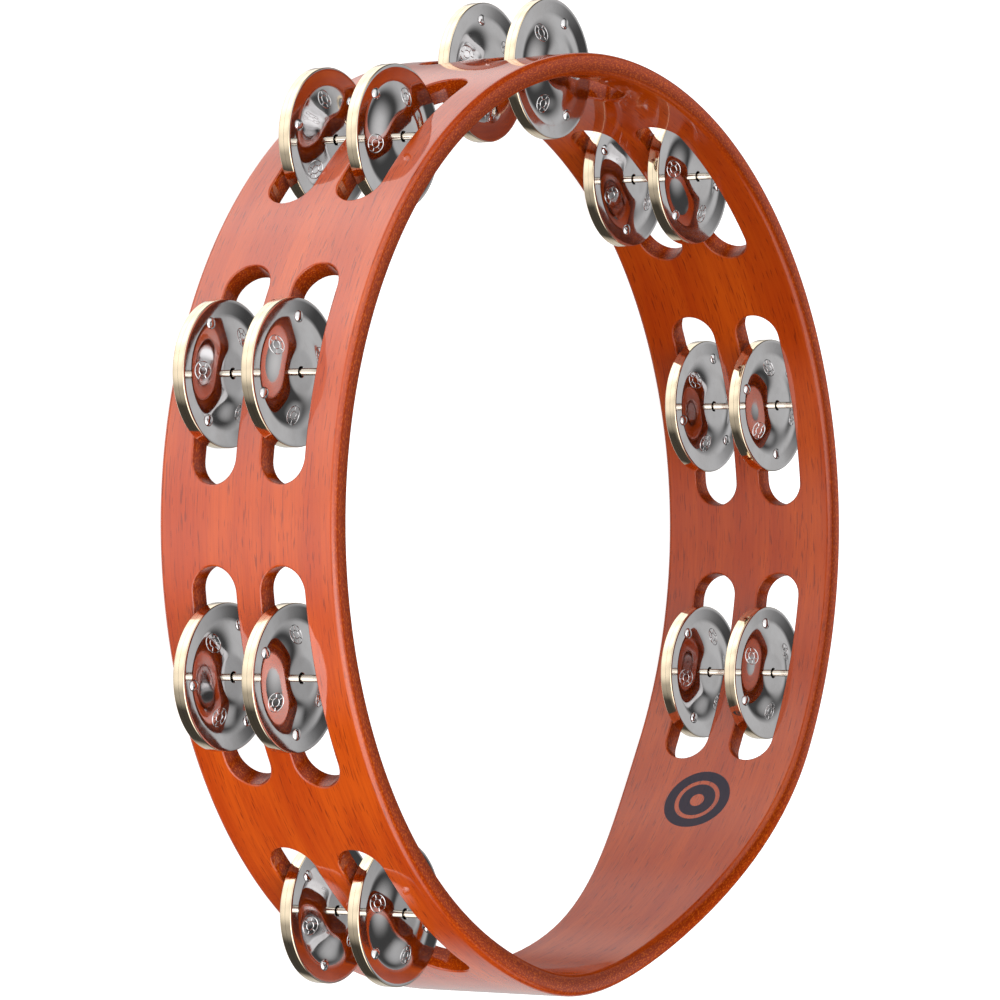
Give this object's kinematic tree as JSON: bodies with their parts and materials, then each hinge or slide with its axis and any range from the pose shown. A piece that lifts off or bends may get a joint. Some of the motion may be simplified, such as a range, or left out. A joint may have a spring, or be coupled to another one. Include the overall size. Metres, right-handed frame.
{
  "type": "tambourine",
  "caption": "Headless wooden tambourine: a bent hoop with a waisted grip, slots in two rows, steel pins and pairs of domed nickel-plated jingles.",
  "frame": {"origin": "on the hoop's axis, in the plane of the lower rim that the tambourine lies on", "axes": "+Z along the hoop's axis, from the lower rim to the upper rim; the grip is on the line X = -Y, on the +X side"},
  "size_m": [0.2834, 0.2834, 0.055],
  "materials": {
    "wood": "red-brown stain under gloss lacquer",
    "pin_steel": "bright drawn wire",
    "nickel": "bright nickel plate"
  },
  "bodies": {
    "hoop": {"hoop": "wood", "pin_1": "pin_steel", "pin_2": "pin_steel", "pin_3": "pin_steel", "pin_4": "pin_steel", "pin_5": "pin_steel", "pin_6": "pin_steel", "pin_7": "pin_steel", "pin_8": "pin_steel"},
    "jingle_1_upper_top": {"jingle_1_upper_top": "nickel"},
    "jingle_1_upper_bottom": {"jingle_1_upper_bottom": "nickel"},
    "jingle_1_lower_top": {"jingle_1_lower_top": "nickel"},
    "jingle_1_lower_bottom": {"jingle_1_lower_bottom": "nickel"},
    "jingle_2_upper_top": {"jingle_2_upper_top": "nickel"},
    "jingle_2_upper_bottom": {"jingle_2_upper_bottom": "nickel"},
    "jingle_2_lower_top": {"jingle_2_lower_top": "nickel"},
    "jingle_2_lower_bottom": {"jingle_2_lower_bottom": "nickel"},
    "jingle_3_upper_top": {"jingle_3_upper_top": "nickel"},
    "jingle_3_upper_bottom": {"jingle_3_upper_bottom": "nickel"},
    "jingle_3_lower_top": {"jingle_3_lower_top": "nickel"},
    "jingle_3_lower_bottom": {"jingle_3_lower_bottom": "nickel"},
    "jingle_4_upper_top": {"jingle_4_upper_top": "nickel"},
    "jingle_4_upper_bottom": {"jingle_4_upper_bottom": "nickel"},
    "jingle_4_lower_top": {"jingle_4_lower_top": "nickel"},
    "jingle_4_lower_bottom": {"jingle_4_lower_bottom": "nickel"},
    "jingle_5_upper_top": {"jingle_5_upper_top": "nickel"},
    "jingle_5_upper_bottom": {"jingle_5_upper_bottom": "nickel"},
    "jingle_5_lower_top": {"jingle_5_lower_top": "nickel"},
    "jingle_5_lower_bottom": {"jingle_5_lower_bottom": "nickel"},
    "jingle_6_upper_top": {"jingle_6_upper_top": "nickel"},
    "jingle_6_upper_bottom": {"jingle_6_upper_bottom": "nickel"},
    "jingle_6_lower_top": {"jingle_6_lower_top": "nickel"},
    "jingle_6_lower_bottom": {"jingle_6_lower_bottom": "nickel"},
    "jingle_7_upper_top": {"jingle_7_upper_top": "nickel"},
    "jingle_7_upper_bottom": {"jingle_7_upper_bottom": "nickel"},
    "jingle_7_lower_top": {"jingle_7_lower_top": "nickel"},
    "jingle_7_lower_bottom": {"jingle_7_lower_bottom": "nickel"},
    "jingle_8_upper_top": {"jingle_8_upper_top": "nickel"},
    "jingle_8_upper_bottom": {"jingle_8_upper_bottom": "nickel"},
    "jingle_8_lower_top": {"jingle_8_lower_top": "nickel"},
    "jingle_8_lower_bottom": {"jingle_8_lower_bottom": "nickel"}
  },
  "joints": [
    {"name": "jingle_1_upper_top_slide", "type": "slide", "parent": "hoop", "child": "jingle_1_upper_top", "axis": [0, 0, 1], "range_m": [0, 0.0062]},
    {"name": "jingle_1_upper_bottom_spin", "type": "hinge", "parent": "hoop", "child": "jingle_1_upper_bottom", "pos_m": [0.12291, 0.0164, 0.0351], "axis": [0, 0, 1], "continuous": true},
    {"name": "jingle_1_lower_top_slide", "type": "slide", "parent": "hoop", "child": "jingle_1_lower_top", "axis": [0, 0, 1], "range_m": [0, 0.0062]},
    {"name": "jingle_1_lower_bottom_spin", "type": "hinge", "parent": "hoop", "child": "jingle_1_lower_bottom", "pos_m": [0.12291, 0.0164, 0.0137], "axis": [0, 0, 1], "continuous": true},
    {"name": "jingle_2_upper_top_slide", "type": "slide", "parent": "hoop", "child": "jingle_2_upper_top", "axis": [0, 0, 1], "range_m": [0, 0.0062]},
    {"name": "jingle_2_upper_bottom_spin", "type": "hinge", "parent": "hoop", "child": "jingle_2_upper_bottom", "pos_m": [0.0892, 0.08614, 0.0351], "axis": [0, 0, 1], "continuous": true},
    {"name": "jingle_2_lower_top_slide", "type": "slide", "parent": "hoop", "child": "jingle_2_lower_top", "axis": [0, 0, 1], "range_m": [0, 0.0062]},
    {"name": "jingle_2_lower_bottom_spin", "type": "hinge", "parent": "hoop", "child": "jingle_2_lower_bottom", "pos_m": [0.0892, 0.08614, 0.0137], "axis": [0, 0, 1], "continuous": true},
    {"name": "jingle_3_upper_top_slide", "type": "slide", "parent": "hoop", "child": "jingle_3_upper_top", "axis": [0, 0, 1], "range_m": [0, 0.0062]},
    {"name": "jingle_3_upper_bottom_spin", "type": "hinge", "parent": "hoop", "child": "jingle_3_upper_bottom", "pos_m": [0.02068, 0.12226, 0.0351], "axis": [0, 0, 1], "continuous": true},
    {"name": "jingle_3_lower_top_slide", "type": "slide", "parent": "hoop", "child": "jingle_3_lower_top", "axis": [0, 0, 1], "range_m": [0, 0.0062]},
    {"name": "jingle_3_lower_bottom_spin", "type": "hinge", "parent": "hoop", "child": "jingle_3_lower_bottom", "pos_m": [0.02068, 0.12226, 0.0137], "axis": [0, 0, 1], "continuous": true},
    {"name": "jingle_4_upper_top_slide", "type": "slide", "parent": "hoop", "child": "jingle_4_upper_top", "axis": [0, 0, 1], "range_m": [0, 0.0062]},
    {"name": "jingle_4_upper_bottom_spin", "type": "hinge", "parent": "hoop", "child": "jingle_4_upper_bottom", "pos_m": [-0.05591, 0.11068, 0.0351], "axis": [0, 0, 1], "continuous": true},
    {"name": "jingle_4_lower_top_slide", "type": "slide", "parent": "hoop", "child": "jingle_4_lower_top", "axis": [0, 0, 1], "range_m": [0, 0.0062]},
    {"name": "jingle_4_lower_bottom_spin", "type": "hinge", "parent": "hoop", "child": "jingle_4_lower_bottom", "pos_m": [-0.05591, 0.11068, 0.0137], "axis": [0, 0, 1], "continuous": true},
    {"name": "jingle_5_upper_top_slide", "type": "slide", "parent": "hoop", "child": "jingle_5_upper_top", "axis": [0, 0, 1], "range_m": [0, 0.0062]},
    {"name": "jingle_5_upper_bottom_spin", "type": "hinge", "parent": "hoop", "child": "jingle_5_upper_bottom", "pos_m": [-0.11068, 0.05591, 0.0351], "axis": [0, 0, 1], "continuous": true},
    {"name": "jingle_5_lower_top_slide", "type": "slide", "parent": "hoop", "child": "jingle_5_lower_top", "axis": [0, 0, 1], "range_m": [0, 0.0062]},
    {"name": "jingle_5_lower_bottom_spin", "type": "hinge", "parent": "hoop", "child": "jingle_5_lower_bottom", "pos_m": [-0.11068, 0.05591, 0.0137], "axis": [0, 0, 1], "continuous": true},
    {"name": "jingle_6_upper_top_slide", "type": "slide", "parent": "hoop", "child": "jingle_6_upper_top", "axis": [0, 0, 1], "range_m": [0, 0.0062]},
    {"name": "jingle_6_upper_bottom_spin", "type": "hinge", "parent": "hoop", "child": "jingle_6_upper_bottom", "pos_m": [-0.12226, -0.02068, 0.0351], "axis": [0, 0, 1], "continuous": true},
    {"name": "jingle_6_lower_top_slide", "type": "slide", "parent": "hoop", "child": "jingle_6_lower_top", "axis": [0, 0, 1], "range_m": [0, 0.0062]},
    {"name": "jingle_6_lower_bottom_spin", "type": "hinge", "parent": "hoop", "child": "jingle_6_lower_bottom", "pos_m": [-0.12226, -0.02068, 0.0137], "axis": [0, 0, 1], "continuous": true},
    {"name": "jingle_7_upper_top_slide", "type": "slide", "parent": "hoop", "child": "jingle_7_upper_top", "axis": [0, 0, 1], "range_m": [0, 0.0062]},
    {"name": "jingle_7_upper_bottom_spin", "type": "hinge", "parent": "hoop", "child": "jingle_7_upper_bottom", "pos_m": [-0.08614, -0.0892, 0.0351], "axis": [0, 0, 1], "continuous": true},
    {"name": "jingle_7_lower_top_slide", "type": "slide", "parent": "hoop", "child": "jingle_7_lower_top", "axis": [0, 0, 1], "range_m": [0, 0.0062]},
    {"name": "jingle_7_lower_bottom_spin", "type": "hinge", "parent": "hoop", "child": "jingle_7_lower_bottom", "pos_m": [-0.08614, -0.0892, 0.0137], "axis": [0, 0, 1], "continuous": true},
    {"name": "jingle_8_upper_top_slide", "type": "slide", "parent": "hoop", "child": "jingle_8_upper_top", "axis": [0, 0, 1], "range_m": [0, 0.0062]},
    {"name": "jingle_8_upper_bottom_spin", "type": "hinge", "parent": "hoop", "child": "jingle_8_upper_bottom", "pos_m": [-0.0164, -0.12291, 0.0351], "axis": [0, 0, 1], "continuous": true},
    {"name": "jingle_8_lower_top_slide", "type": "slide", "parent": "hoop", "child": "jingle_8_lower_top", "axis": [0, 0, 1], "range_m": [0, 0.0062]},
    {"name": "jingle_8_lower_bottom_spin", "type": "hinge", "parent": "hoop", "child": "jingle_8_lower_bottom", "pos_m": [-0.0164, -0.12291, 0.0137], "axis": [0, 0, 1], "continuous": true}
  ]
}
